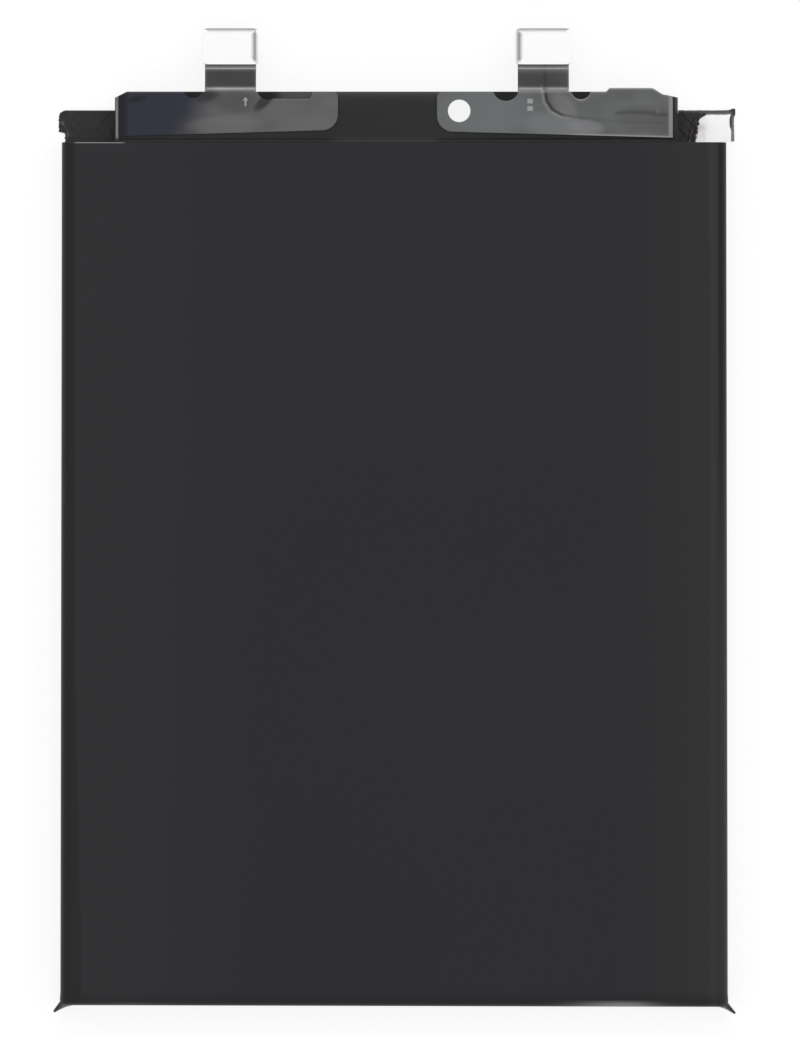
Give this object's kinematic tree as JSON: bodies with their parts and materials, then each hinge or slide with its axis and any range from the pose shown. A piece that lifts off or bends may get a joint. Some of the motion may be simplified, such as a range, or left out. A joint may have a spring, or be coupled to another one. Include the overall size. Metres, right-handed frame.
{
  "type": "phone battery",
  "caption": "Flat black film-wrapped pouch battery for a phone, with an electronics header along one end and two short flexible tails to board-to-board connectors.",
  "frame": {"origin": "centre of the wrapped cell's flat back face", "axes": "+X across the cell to the right as seen from the front, +Y along the cell towards the connectors, +Z out of the front face"},
  "size_m": [0.0669, 0.0966, 0.0051],
  "materials": {
    "black_film": "satin black plastic film",
    "foil_laminate": "satin aluminium laminate",
    "black_tape": "matt black insulating tape",
    "flex_coverlay": "glossy dark coverlay over copper",
    "bright_steel": "bright rolled steel",
    "connector_plastic": "moulded black plastic",
    "gold_plate": "gold plating",
    "board_laminate": "green solder mask on glass laminate",
    "nickel": "rolled nickel",
    "tab_aluminium": "rolled aluminium",
    "sealant_polymer": "translucent polymer strip",
    "moulded_black": "moulded black epoxy",
    "chip_ceramic": "ceramic with tinned ends",
    "grey_foam": "fine closed-cell foam",
    "insulating_sheet": "pale fibre paper",
    "dot_paper": "white paper sticker"
  },
  "bodies": {
    "root": {"pouch_cell": "foil_laminate", "wrap_film": "black_film", "left_terrace_tape": "black_tape", "right_terrace_tape": "black_tape", "header_tape": "black_tape", "left_flex_circuit": "flex_coverlay", "right_flex_circuit": "flex_coverlay", "left_stiffener": "bright_steel", "right_stiffener": "bright_steel", "left_connector": "connector_plastic", "right_connector": "connector_plastic", "left_connector_contacts": "gold_plate", "right_connector_contacts": "gold_plate", "moisture_dot": "dot_paper", "protection_board": "board_laminate", "positive_tab": "tab_aluminium", "negative_tab": "nickel", "positive_tab_sealant": "sealant_polymer", "negative_tab_sealant": "sealant_polymer", "positive_weld_plate": "nickel", "negative_weld_plate": "nickel", "power_switches": "moulded_black", "protection_chip": "moulded_black", "gauge_chip": "moulded_black", "sense_resistor": "chip_ceramic", "thermistor": "chip_ceramic", "chip_capacitors": "chip_ceramic", "chip_resistors": "chip_ceramic", "foam_pad": "grey_foam", "insulating_paper": "insulating_sheet"}
  },
  "joints": []
}
